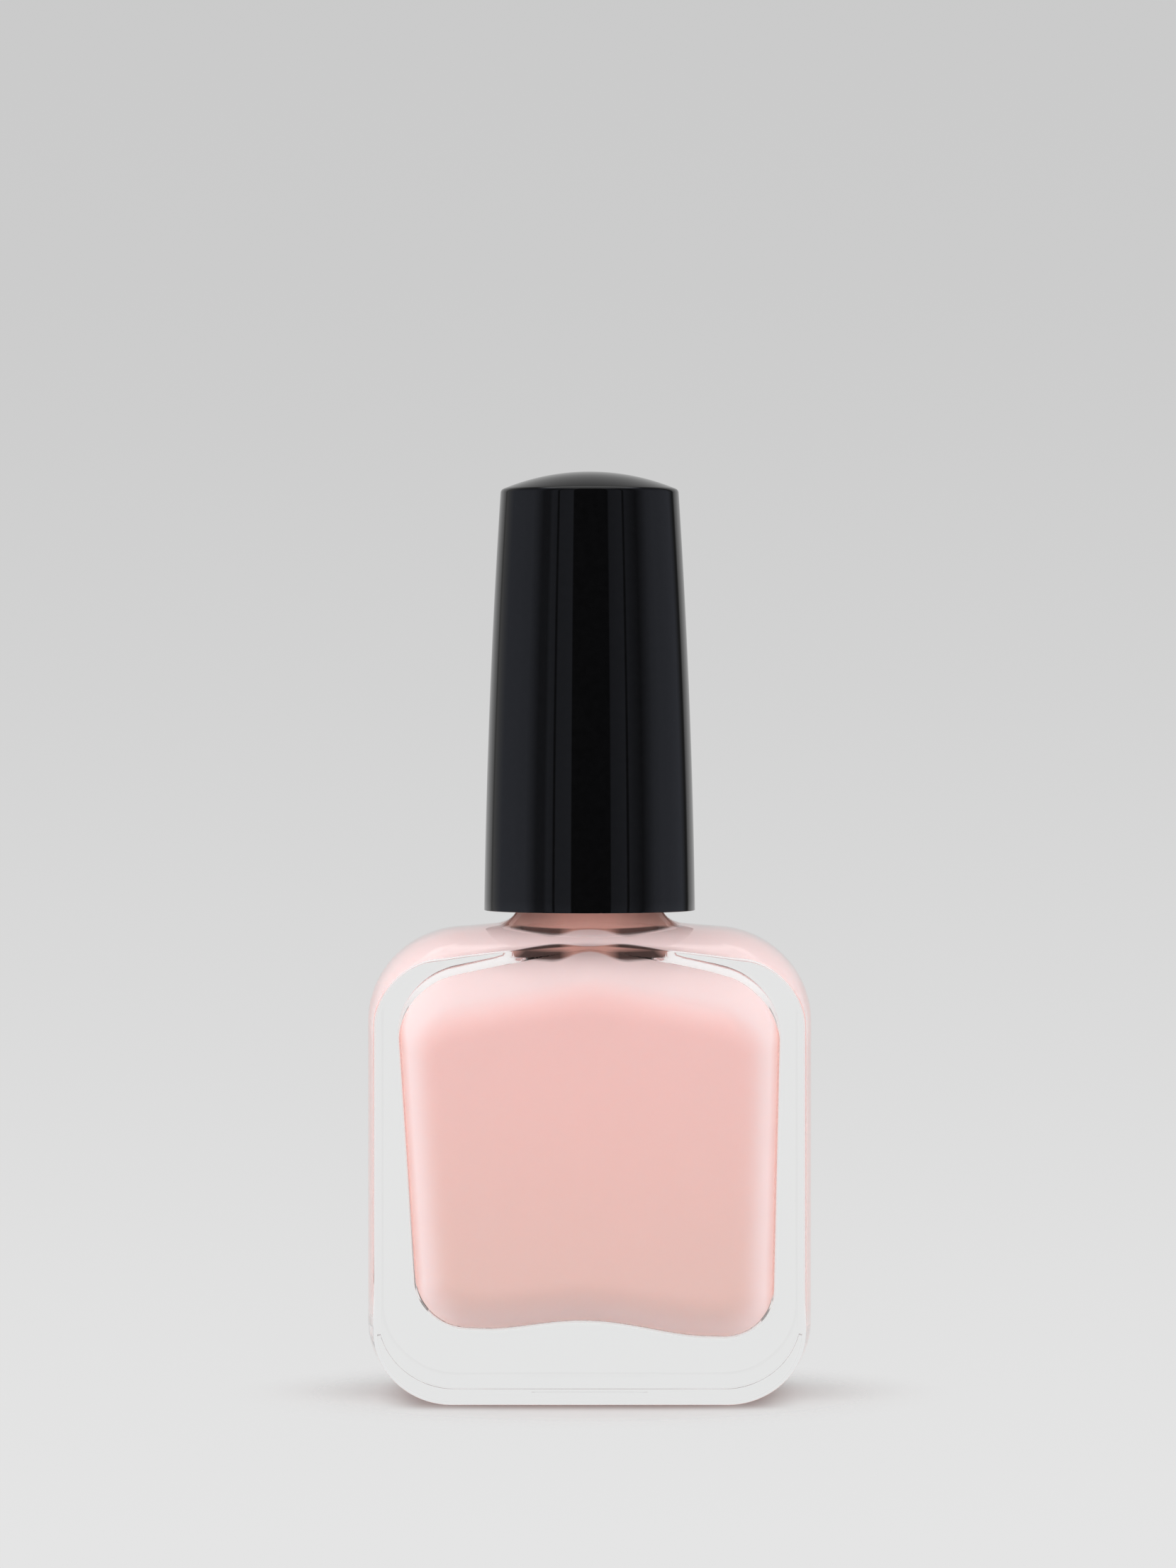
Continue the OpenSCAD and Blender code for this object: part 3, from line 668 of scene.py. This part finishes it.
def makePolish():
    points, faces, p, s, edgeRound = [], [], polishForm, stemForm, cavityForm["edgeRound"]
    overlap, gap = p["overlap"], p["clearance"]
    sections = depthSections(cavityHalfDepth + overlap, edgeRound, edgeRound, glassForm["faceRing"])
    rings = [cavitySection(y, inset - overlap) for y, inset in sections]
    ring = holeLoop(loftShell(points, faces, rings, True, False), topColumns)
    turn = angles(points, ring)
    bore = neckForm["boreRadius"] + overlap
    flare = boreFlare(turn, bore, overlap)
    edge, foot = placesOf(points, ring)[:, :2], onCircle(turn, flare[-1][0], 0)[:, :2]
    ceiling = partial(ceilingTop, lift=overlap)
    for t in shares(steps["ceiling"]):
        ring = growRing(points, faces, ring, lifted(between(edge, foot, t), ceiling))

    def stemRadius(z):
        up = (z - s["endHeight"]) / (s["plugFoot"] - s["endHeight"])
        return s["endRadius"] + (s["topRadius"] - s["endRadius"]) * up + gap

    hole, tuft = stemRadius(p["fill"]), p["tuftRadius"] + gap
    stemFoot, tuftFoot = s["endHeight"] - gap, p["tipHeight"] - gap
    profile = flare[-2::-1] + [(bore, p["fill"])]
    # the surface climbs a little at the glass and at the stem
    profile += [(bore + (hole - bore) * t, p["fill"] - p["meniscus"] * (1 - (2 * t - 1) ** 4))
                for t in shares(steps["surface"])]
    profile += [(stemRadius(z), z) for z in np.linspace(p["fill"], stemFoot, steps["stem"] + 1)[1:]]
    profile += [(tuft, stemFoot), (tuft, tuftFoot)]
    for r, z in profile:
        ring = growRing(points, faces, ring, onCircle(turn, r, z))
    closeRing(points, faces, ring, (0, 0, tuftFoot))
    for side in (-1, 1):
        growPocket(points, faces, side)
    filling = meshPiece("pinkFilling", points, faces, pinkPolish)
    finishPiece(filling, "bottle", "polish", sharp=45)


# node trees for what repeats or follows a rule

def newTree(name, sizes):
    tree = bpy.data.node_groups.new(name, "GeometryNodeTree")
    tree.interface.new_socket("Geometry", in_out="INPUT", socket_type="NodeSocketGeometry")
    keys = {}
    for label, value in sizes.items():
        kind = "NodeSocketMaterial" if isinstance(value, bpy.types.Material) else (
            "NodeSocketInt" if isinstance(value, int) else "NodeSocketFloat")
        keys[label] = tree.interface.new_socket(label, in_out="INPUT", socket_type=kind).identifier
    tree.interface.new_socket("Geometry", in_out="OUTPUT", socket_type="NodeSocketGeometry")
    source = tree.nodes.new("NodeGroupInput")
    return tree, keys, {label: source.outputs[label] for label in sizes}


def endTree(tree, geometry, material):
    real = addNode(tree, "GeometryNodeRealizeInstances", {"Geometry": geometry})
    coated = addNode(tree, "GeometryNodeSetMaterial", {"Geometry": real.outputs[0], "Material": material})
    tree.links.new(coated.outputs[0], tree.nodes.new("NodeGroupOutput").inputs[0])


def growPiece(name, tree, keys, sizes):
    obj = bpy.data.objects.new(name, bpy.data.meshes.new(name + "Seed"))
    scene.collection.objects.link(obj)
    modifier = obj.modifiers.new("shape", "NODES")
    modifier.node_group = tree
    for label, value in sizes.items():
        modifier[keys[label]] = value
    grown = obj.evaluated_get(bpy.context.evaluated_depsgraph_get())
    mesh = bpy.data.meshes.new_from_object(grown)
    obj.modifiers.remove(modifier)
    obj.data = mesh
    mesh.name = name
    return obj


def readNode(tree, kind):
    return tree.nodes.new(kind).outputs[0]


def polar(tree, radius, angle, **rest):
    x, y = (calc(tree, "MULTIPLY", radius, calc(tree, way, angle)) for way in ("COSINE", "SINE"))
    return vector(tree, X=x, Y=y, **rest)


def placed(tree, geometry, spot):
    return addNode(tree, "GeometryNodeSetPosition", {"Geometry": geometry, "Position": spot}).outputs[0]


def moved(tree, geometry, **by):
    shift = {"Geometry": geometry, "Translation": vector(tree, **by)}
    return addNode(tree, "GeometryNodeTransform", shift).outputs[0]


def joined(tree, *parts):
    whole = tree.nodes.new("GeometryNodeJoinGeometry")
    for part in parts:
        tree.links.new(part, whole.inputs[0])
    return whole.outputs[0]


def turnedSkin(tree, segments, around, inward):  # lathe: each segment is (rows, radius of t, height of t)
    add, take, mul = sums(tree)
    rows = sum(segment[0] for segment in segments)
    grid = addNode(tree, "GeometryNodeMeshGrid", {
        "Size X": 1.0, "Size Y": 1.0, "Vertices X": around, "Vertices Y": rows + 1})
    place = axes(tree, readNode(tree, "GeometryNodeInputPosition"))
    angle = mul(add(place["X"], 0.5), -2 * math.pi if inward else 2 * math.pi)
    row = mul(add(place["Y"], 0.5), float(rows))
    radius = height = None
    start = 0
    for count, radiusAt, heightAt in segments:
        part = calc(tree, "DIVIDE", take(row, start), count)
        part = calc(tree, "MINIMUM", calc(tree, "MAXIMUM", part, 0.0), 1.0)
        r, z = radiusAt(part), heightAt(part)
        if radius is None:
            radius, height = r, z
        else:
            here = calc(tree, "GREATER_THAN", row, start + 0.5)
            radius, height = (add(old, mul(here, take(new, old))) for old, new in ((radius, r), (height, z)))
        start += count
    return placed(tree, grid.outputs[0], polar(tree, radius, angle, Z=height))


# the turned black cap: a taper with a slight bow, a rounded rim and a shallow dome
capForm = {
    "Lower Edge": 39.1 * mm, "Height": 34.1 * mm, "Base Radius": 8.53 * mm, "Taper": 1.35 * mm,
    "Bow": 0.22 * mm, "Rim Round": 0.4 * mm, "Dome Rise": 1.35 * mm, "Lip Round": 0.05 * mm,
    "Bore Radius": 7.38 * mm, "Bore Height": 12.2 * mm, "Upper Wall": 1.3 * mm, "Top Thickness": 1.6 * mm,
    "Ribs": 12, "Rib Width": 0.6 * mm, "Rib Depth": 0.25 * mm, "Rib Setback": 0.5 * mm, "Around": 161,
    "Finish": blackGloss,
}
capMesh = {"lipRows": 4, "sideRows": 40, "rimRows": 10, "domeRows": 16, "ribSunk": 0.6}


def makeCap():
    tree, keys, size = newTree("taperedCap", capForm)
    add, take, mul = sums(tree)

    def line(a, b):  # radius, height or angle along a straight stretch
        return lambda t: add(a, mul(t, take(b, a)))

    def arc(x, z, radius, angleAt):  # radius and height along a round, by its angle from level
        return [lambda t, base=base, way=way: add(base, mul(radius, calc(tree, way, angleAt(t))))
                for base, way in ((x, "COSINE"), (z, "SINE"))]

    def sideRadius(z):
        up = calc(tree, "DIVIDE", z, size["Height"])
        bulge = mul(up, take(1.0, up), 4.0)
        return add(take(size["Base Radius"], mul(size["Taper"], up)), mul(size["Bow"], bulge))

    rim, lip, dome = size["Rim Round"], size["Lip Round"], size["Dome Rise"]
    bore, boreTop = size["Bore Radius"], size["Bore Height"]
    sideTop = take(size["Height"], rim)
    roundX = take(sideRadius(sideTop), rim)
    chord = add(mul(roundX, roundX), mul(dome, dome), mul(dome, rim, 2.0))
    domeRadius = calc(tree, "DIVIDE", chord, mul(dome, 2.0))
    domeMiddle = take(add(size["Height"], dome), domeRadius)
    lean = calc(tree, "ARCSINE", calc(tree, "DIVIDE", roundX, take(domeRadius, rim)))
    lipX = take(size["Base Radius"], lip)
    sideAt, domeAngle = line(lip, sideTop), line(lean, 0.0)
    outer = turnedSkin(tree, [
        (1, line(bore, lipX), line(0.0, 0.0)),
        (capMesh["lipRows"], *arc(lipX, lip, lip, line(-math.pi / 2, 0.0))),
        (capMesh["sideRows"], lambda t: sideRadius(sideAt(t)), sideAt),
        (capMesh["rimRows"], *arc(roundX, sideTop, rim, line(0.0, take(math.pi / 2, lean)))),
        (capMesh["domeRows"], lambda t: mul(domeRadius, calc(tree, "SINE", domeAngle(t))),
         lambda t: add(domeMiddle, mul(domeRadius, calc(tree, "COSINE", domeAngle(t))))),
    ], size["Around"], False)
    innerTop = take(size["Height"], size["Top Thickness"])
    coneLow, coneHigh = (take(sideRadius(z), size["Upper Wall"]) for z in (boreTop, innerTop))
    inner = turnedSkin(tree, [
        (1, line(bore, bore), line(0.0, boreTop)),
        (1, line(bore, coneLow), line(boreTop, boreTop)),
        (1, line(coneLow, coneHigh), line(boreTop, innerTop)),
        (1, line(coneHigh, 0.0), line(innerTop, innerTop)),
    ], size["Around"], True)
    # ribs that hold the inner cap, sunk a little into the wall
    sunk, ribHeight = capMesh["ribSunk"], take(boreTop, size["Rib Setback"])
    block = addNode(tree, "GeometryNodeMeshCube", {
        "Size": vector(tree, X=mul(size["Rib Depth"], 1 + sunk), Y=size["Rib Width"], Z=ribHeight)})
    rib = moved(tree, block.outputs[0], X=take(bore, mul(size["Rib Depth"], (1 - sunk) / 2)),
                Z=add(size["Rib Setback"], mul(ribHeight, 0.5)))
    turn = calc(tree, "DIVIDE", mul(readNode(tree, "GeometryNodeInputIndex"), 2 * math.pi), size["Ribs"])
    spots = addNode(tree, "GeometryNodePoints", {"Count": size["Ribs"]})
    ribs = addNode(tree, "GeometryNodeInstanceOnPoints", {
        "Points": spots.outputs[0], "Instance": rib, "Rotation": vector(tree, Z=turn)})
    skin = joined(tree, outer, inner)
    sealed = addNode(tree, "GeometryNodeMergeByDistance", {"Geometry": skin, "Distance": tiny})
    whole = joined(tree, sealed.outputs[0], ribs.outputs[0])
    endTree(tree, moved(tree, whole, Z=size["Lower Edge"]), size["Finish"])
    cap = growPiece("glossCap", tree, keys, capForm)
    finishPiece(cap, "cap", "outer_cap", sharp=30)


# tuft of tapered filaments that splay toward a domed tip
tuftForm = {
    "Filaments": 460, "Tuft Radius": 1.24 * mm, "Root Height": 25.55 * mm, "Tip Height": 7.62 * mm,
    "Splay": 0.3, "Dome": 1.6 * mm, "Filament Radius": 0.042 * mm, "Tip Share": 0.45, "Wander": 0.035 * mm,
    "Disc Thickness": 0.5 * mm, "Seed": 7, "Finish": nylon,
}
tuftMesh = {"sides": 5, "segments": 5, "goldenTurn": 137.508, "shortest": 0.985, "splayCurve": 1.35,
            "wavesPerMetre": 900.0, "discSides": 40, "discDrop": 0.45}


def makeTuft():
    tree, keys, size = newTree("bristleTuft", tuftForm)
    add, take, mul = sums(tree)
    count, index = size["Filaments"], readNode(tree, "GeometryNodeInputIndex")
    share = calc(tree, "DIVIDE", add(index, 0.5), count)
    out = mul(size["Tuft Radius"], calc(tree, "SQRT", share))
    spot = polar(tree, out, mul(index, math.radians(tuftMesh["goldenTurn"])))
    spots = placed(tree, addNode(tree, "GeometryNodePoints", {"Count": count}).outputs[0], spot)
    root = size["Filament Radius"]
    filament = addNode(tree, "GeometryNodeMeshCone", {
        "Vertices": tuftMesh["sides"], "Side Segments": tuftMesh["segments"], "Fill Segments": 1,
        "Depth": 1.0, "Radius Top": root, "Radius Bottom": mul(root, size["Tip Share"])})
    hung = moved(tree, filament.outputs[0], Z=-1.0)  # root at z = 0, tip at z = -1
    length = take(size["Root Height"], size["Tip Height"])
    jitter = addNode(tree, "FunctionNodeRandomValue", {
        2: tuftMesh["shortest"], 3: 1.0, "Seed": size["Seed"]}, data_type="FLOAT").outputs[1]
    reach = mul(take(length, mul(size["Dome"], share)), jitter)
    brush = addNode(tree, "GeometryNodeInstanceOnPoints", {
        "Points": spots, "Instance": hung, "Scale": vector(tree, X=1.0, Y=1.0, Z=reach)})
    real = addNode(tree, "GeometryNodeRealizeInstances", {"Geometry": brush.outputs[0]})
    at = axes(tree, readNode(tree, "GeometryNodeInputPosition"))
    down = calc(tree, "DIVIDE", mul(at["Z"], -1.0), length)
    wide = add(1.0, mul(size["Splay"], calc(tree, "POWER", down, tuftMesh["splayCurve"])))
    wave = addNode(tree, "ShaderNodeTexNoise", {"Scale": tuftMesh["wavesPerMetre"], "Detail": 1.0}).outputs[0]
    sway = mul(take(wave, 0.5), size["Wander"], down)
    bent = vector(tree, X=add(mul(at["X"], wide), sway), Y=take(mul(at["Y"], wide), sway), Z=at["Z"])
    disc = addNode(tree, "GeometryNodeMeshCylinder", {
        "Vertices": tuftMesh["discSides"], "Radius": add(size["Tuft Radius"], root),
        "Depth": size["Disc Thickness"]})
    backing = moved(tree, disc.outputs[0], Z=mul(size["Disc Thickness"], -tuftMesh["discDrop"]))
    whole = joined(tree, placed(tree, real.outputs[0], bent), backing)
    endTree(tree, moved(tree, whole, Z=size["Root Height"]), size["Finish"])
    tuft = growPiece("bristleTuft", tree, keys, tuftForm)
    finishPiece(tuft, "brush", "bristles", sharp=50)


for makePiece in (makeBottleGlass, makePolish, makeCap, makeTuft, makeStem, makeSeal):
    makePiece()

dressing = {"inner_cap": mouldedWhite, "bristle_staple": drawnWire,
            "mixing_ball_left": polishedBead, "mixing_ball_right": polishedBead}
for node, material in dressing.items():
    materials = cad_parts[node].data.materials
    materials.clear()
    materials.append(material)
print("inner pieces dressed")


# studio: pale floor that fades into the backdrop, lamps at both sides, overhead and in front
studio = {
    "floorRadius": 0.42, "floorSides": 96, "floorColour": 0.54, "floorGrain": 0.01, "floorBlotch": (60, 2.0),
    "floorKept": 0.012, "floorGone": 0.03,
    "contactHalf": (11.7, 9.7), "contactSpread": 6.0, "contactShade": 0.72,
    "contactColour": (0.16, 0.10, 0.09, 1),
    "fill": 0.6, "flagged": 0.3, "flagTurn": (14, 38), "flagHeight": 0.25,
    "tableGlow": 0.95, "rearGlow": 0.3, "glowFade": (0.1, 0.5),
    "overhead": (0.3, 0.3, 0.3, 1), "overheadFade": (0.8, 0.93),
    "mirrorWhite": 0.65, "coolTurn": (20, 125), "coolTint": (0.94, 1.0, 1.2), "lampAim": (0, 0, 0.03),
}
lamps = {  # place, size and power
    "leftLamp": ((-0.6, -0.2, 0.36), (0.5, 0.7), 3.3),
    "rightLamp": ((0.6, -0.2, 0.36), (0.5, 0.7), 2.9),
    "topLamp": ((0, -0.06, 0.75), (0.5, 0.5), 1.4),
    "frontLamp": ((0, -0.85, 0.75), (0.8, 0.6), 0.9),
}
# brightness of the backdrop by height of gaze
backdrop = [(-1.0, 0.80), (-0.118, 0.783), (-0.098, 0.768), (-0.082, 0.753), (-0.053, 0.716), (-0.035, 0.694),
            (0.0, 0.651), (0.035, 0.617), (0.055, 0.604), (0.3, 0.55), (0.67, 0.28), (0.8, 0.3), (0.88, 2.6),
            (1.0, 3.0)]
# what clear glass shows, by height of gaze
throughGlass = [(-1.0, 0.95), (-0.6, 0.95), (-0.25, 0.82), (1.0, 0.82)]
# what gloss mirrors, by degrees round from the camera:
# dark room in front, panels at the sides, backdrop behind
mirrorRoom = [(-180, 0.63), (-150, 0.63), (-140, 0.50), (-136, 0.20), (-132, 0.35), (-114, 0.26), (-92, 0.36),
              (-76, 0.38), (-69, 0.27), (-61, 0.10), (-52, 0.10), (-48, 0.23), (-42, 0.21), (-41, 0.02),
              (-39, 0.02), (-38, 0.20), (-21, 0.23), (-20, 0.01), (23, 0.01), (24, 0.16), (41, 0.21),
              (42, 0.02), (44, 0.02), (45, 0.18), (61, 0.05), (77, 0.31), (87, 0.35), (122, 0.25),
              (132, 0.06), (136, 0.06), (140, 0.45), (150, 0.63)]


def steppedLevel(tree, source, table):
    level = table[0][1]
    for (z0, v0), (z1, v1) in zip(table, table[1:]):
        level = calc(tree, "ADD", ranged(tree, source, z0, z1, 0.0, v1 - v0), level)
    return level


def mirrorPanels(tree, bearing):
    add = sums(tree)[0]
    ramp = addNode(tree, "ShaderNodeValToRGB", {"Fac": add(calc(tree, "DIVIDE", bearing, 2 * math.pi), 0.5)})
    stops = ramp.color_ramp.elements
    stops.remove(stops[-1])
    for degrees, glow in mirrorRoom[1:]:
        stops.new(0.5 + degrees / 360)
    first, last = studio["coolTurn"]
    for stop, (degrees, glow) in zip(stops, mirrorRoom):
        tint = studio["coolTint"] if first < abs(degrees) < last else white[:3]
        stop.color = (*(glow / studio["mirrorWhite"] * part for part in tint), 1)
    return ramp.outputs[0]


def makeWorld():
    world = bpy.data.worlds.new("studio")
    scene.world = world
    world.use_nodes = True
    tree = world.node_tree
    tree.nodes.clear()
    add, take, mul = sums(tree)
    way = axes(tree, addNode(tree, "ShaderNodeTexCoord").outputs["Generated"])
    path = tree.nodes.new("ShaderNodeLightPath").outputs
    gloss, clear = path["Is Glossy Ray"], path["Is Transmission Ray"]
    bearing = calc(tree, "ARCTAN2", way["X"], mul(way["Y"], -1.0))
    # narrow dark flags at the sides draw the edges of the clear glass
    turn = calc(tree, "ABSOLUTE", take(calc(tree, "ABSOLUTE", bearing), math.pi / 2))
    first, last = (math.radians(degrees) for degrees in studio["flagTurn"])
    flag = mul(calc(tree, "GREATER_THAN", turn, first), calc(tree, "LESS_THAN", turn, last),
               calc(tree, "LESS_THAN", calc(tree, "ABSOLUTE", way["Z"]), studio["flagHeight"]))
    # light off the table in front and from behind reaches the polish, but isn't seen through the glass
    near, full = studio["glowFade"]
    front, below, behind = (ranged(tree, way[axis], side * near, side * full)
                            for axis, side in (("Y", -1), ("Z", -1), ("Y", 1)))
    lift = add(mul(front, below, studio["tableGlow"]), mul(behind, studio["rearGlow"]))
    scattered = calc(tree, "MINIMUM", path["Diffuse Depth"], 1.0)
    glow = add(steppedLevel(tree, way["Z"], throughGlass), mul(lift, scattered))
    through = mul(glow, take(1.0, mul(flag, 1 - studio["flagged"])))
    # the panels run out into an even patch overhead
    overhead = ranged(tree, way["Z"], *studio["overheadFade"])
    room = blended(tree, overhead, mirrorPanels(tree, bearing), studio["overhead"])
    mirrored = mul(gloss, take(1.0, clear))  # sharp glass counts as gloss too
    tint = blended(tree, mirrored, white, room)
    level = steppedLevel(tree, way["Z"], backdrop)
    strength = addNode(tree, "ShaderNodeMix", {0: clear, 2: level, 3: through}, data_type="FLOAT").outputs[0]
    visible = calc(tree, "MINIMUM", add(path["Is Camera Ray"], gloss, clear), 1.0)
    shown = addNode(tree, "ShaderNodeBackground", {"Color": tint, "Strength": strength})
    fill = addNode(tree, "ShaderNodeBackground", {"Color": white, "Strength": studio["fill"]})
    both = addNode(tree, "ShaderNodeMixShader", {0: visible, 1: fill.outputs[0], 2: shown.outputs[0]})
    tree.links.new(both.outputs[0], tree.nodes.new("ShaderNodeOutputWorld").inputs["Surface"])


def areaLamp(name, place, size, power):  # lights the object, but isn't mirrored or seen through glass
    lamp = bpy.data.lights.new(name, "AREA")
    lamp.shape, lamp.size, lamp.size_y, lamp.energy = "RECTANGLE", size[0], size[1], power
    obj = bpy.data.objects.new(name, lamp)
    obj.location = place
    obj.rotation_euler = (Vector(studio["lampAim"]) - Vector(place)).to_track_quat("-Z", "Y").to_euler()
    scene.collection.objects.link(obj)
    obj.visible_glossy = obj.visible_transmission = False


def makeFloor():
    s, points, faces = studio, [], []
    ring = addRing(points, onCircle(evenTurn(s["floorSides"]), s["floorRadius"] / mm, 0))
    closeRing(points, faces, ring, (0, 0, 0))
    material, tree, shader = makeMaterial("paleFloor", {"Roughness": 0.9, "Specular IOR Level": 0.0})
    add, take, mul = sums(tree)
    tones = [[s["floorColour"] * (1 + way * s["floorGrain"])] * 3 for way in (-1, 1)]
    plain = twoTone(tree, pieceNoise(tree, *s["floorBlotch"]), *tones)
    # contact shade of the base, which the clear glass doesn't throw by itself
    place = pieceCoords(tree)
    at = axes(tree, place)
    off = [calc(tree, "MAXIMUM", take(calc(tree, "ABSOLUTE", at[axis]), half * mm), 0.0)
           for axis, half in zip("XY", s["contactHalf"])]
    gap = calc(tree, "SQRT", add(*(mul(part, part) for part in off)))
    contact = ranged(tree, gap, 0.0, s["contactSpread"] * mm, s["contactShade"], 0.0, "SMOOTHERSTEP")
    feed(tree, shader, "Base Color", blended(tree, contact, plain, s["contactColour"]))
    far = addNode(tree, "ShaderNodeVectorMath", {0: place}, operation="LENGTH").outputs["Value"]
    feed(tree, shader, "Alpha", ranged(tree, far, s["floorKept"], s["floorGone"], 1.0, 0.0, "SMOOTHSTEP"))
    path = tree.nodes.new("ShaderNodeLightPath").outputs
    seen = calc(tree, "MAXIMUM", path["Is Glossy Ray"], path["Is Transmission Ray"])
    gone = readNode(tree, "ShaderNodeBsdfTransparent")
    both = addNode(tree, "ShaderNodeMixShader", {0: seen, 1: shader.outputs[0], 2: gone})
    tree.links.new(both.outputs[0], tree.nodes["Material Output"].inputs["Surface"])
    meshPiece("paleFloor", points, faces, material)


makeWorld()
makeFloor()
for name, (place, size, power) in lamps.items():
    areaLamp(name, place, size, power)
print("studio lit")


# camera at the photograph's angle
lens = {"focal": 166.0, "sensor": 36.0, "nearest": 0.01, "distance": 0.5845, "sideways": -0.00013,
        "height": 0.0577, "aimHeight": 0.0493}
cameraData = bpy.data.cameras.new("photoCamera")
cameraData.lens, cameraData.sensor_width = lens["focal"], lens["sensor"]
cameraData.clip_start = lens["nearest"]
camera = bpy.data.objects.new("photoCamera", cameraData)
camera.location = (lens["sideways"], -lens["distance"], lens["height"])
camera.rotation_euler = (math.pi / 2 - math.atan2(lens["height"] - lens["aimHeight"], lens["distance"]), 0, 0)
scene.collection.objects.link(camera)
scene.camera = camera
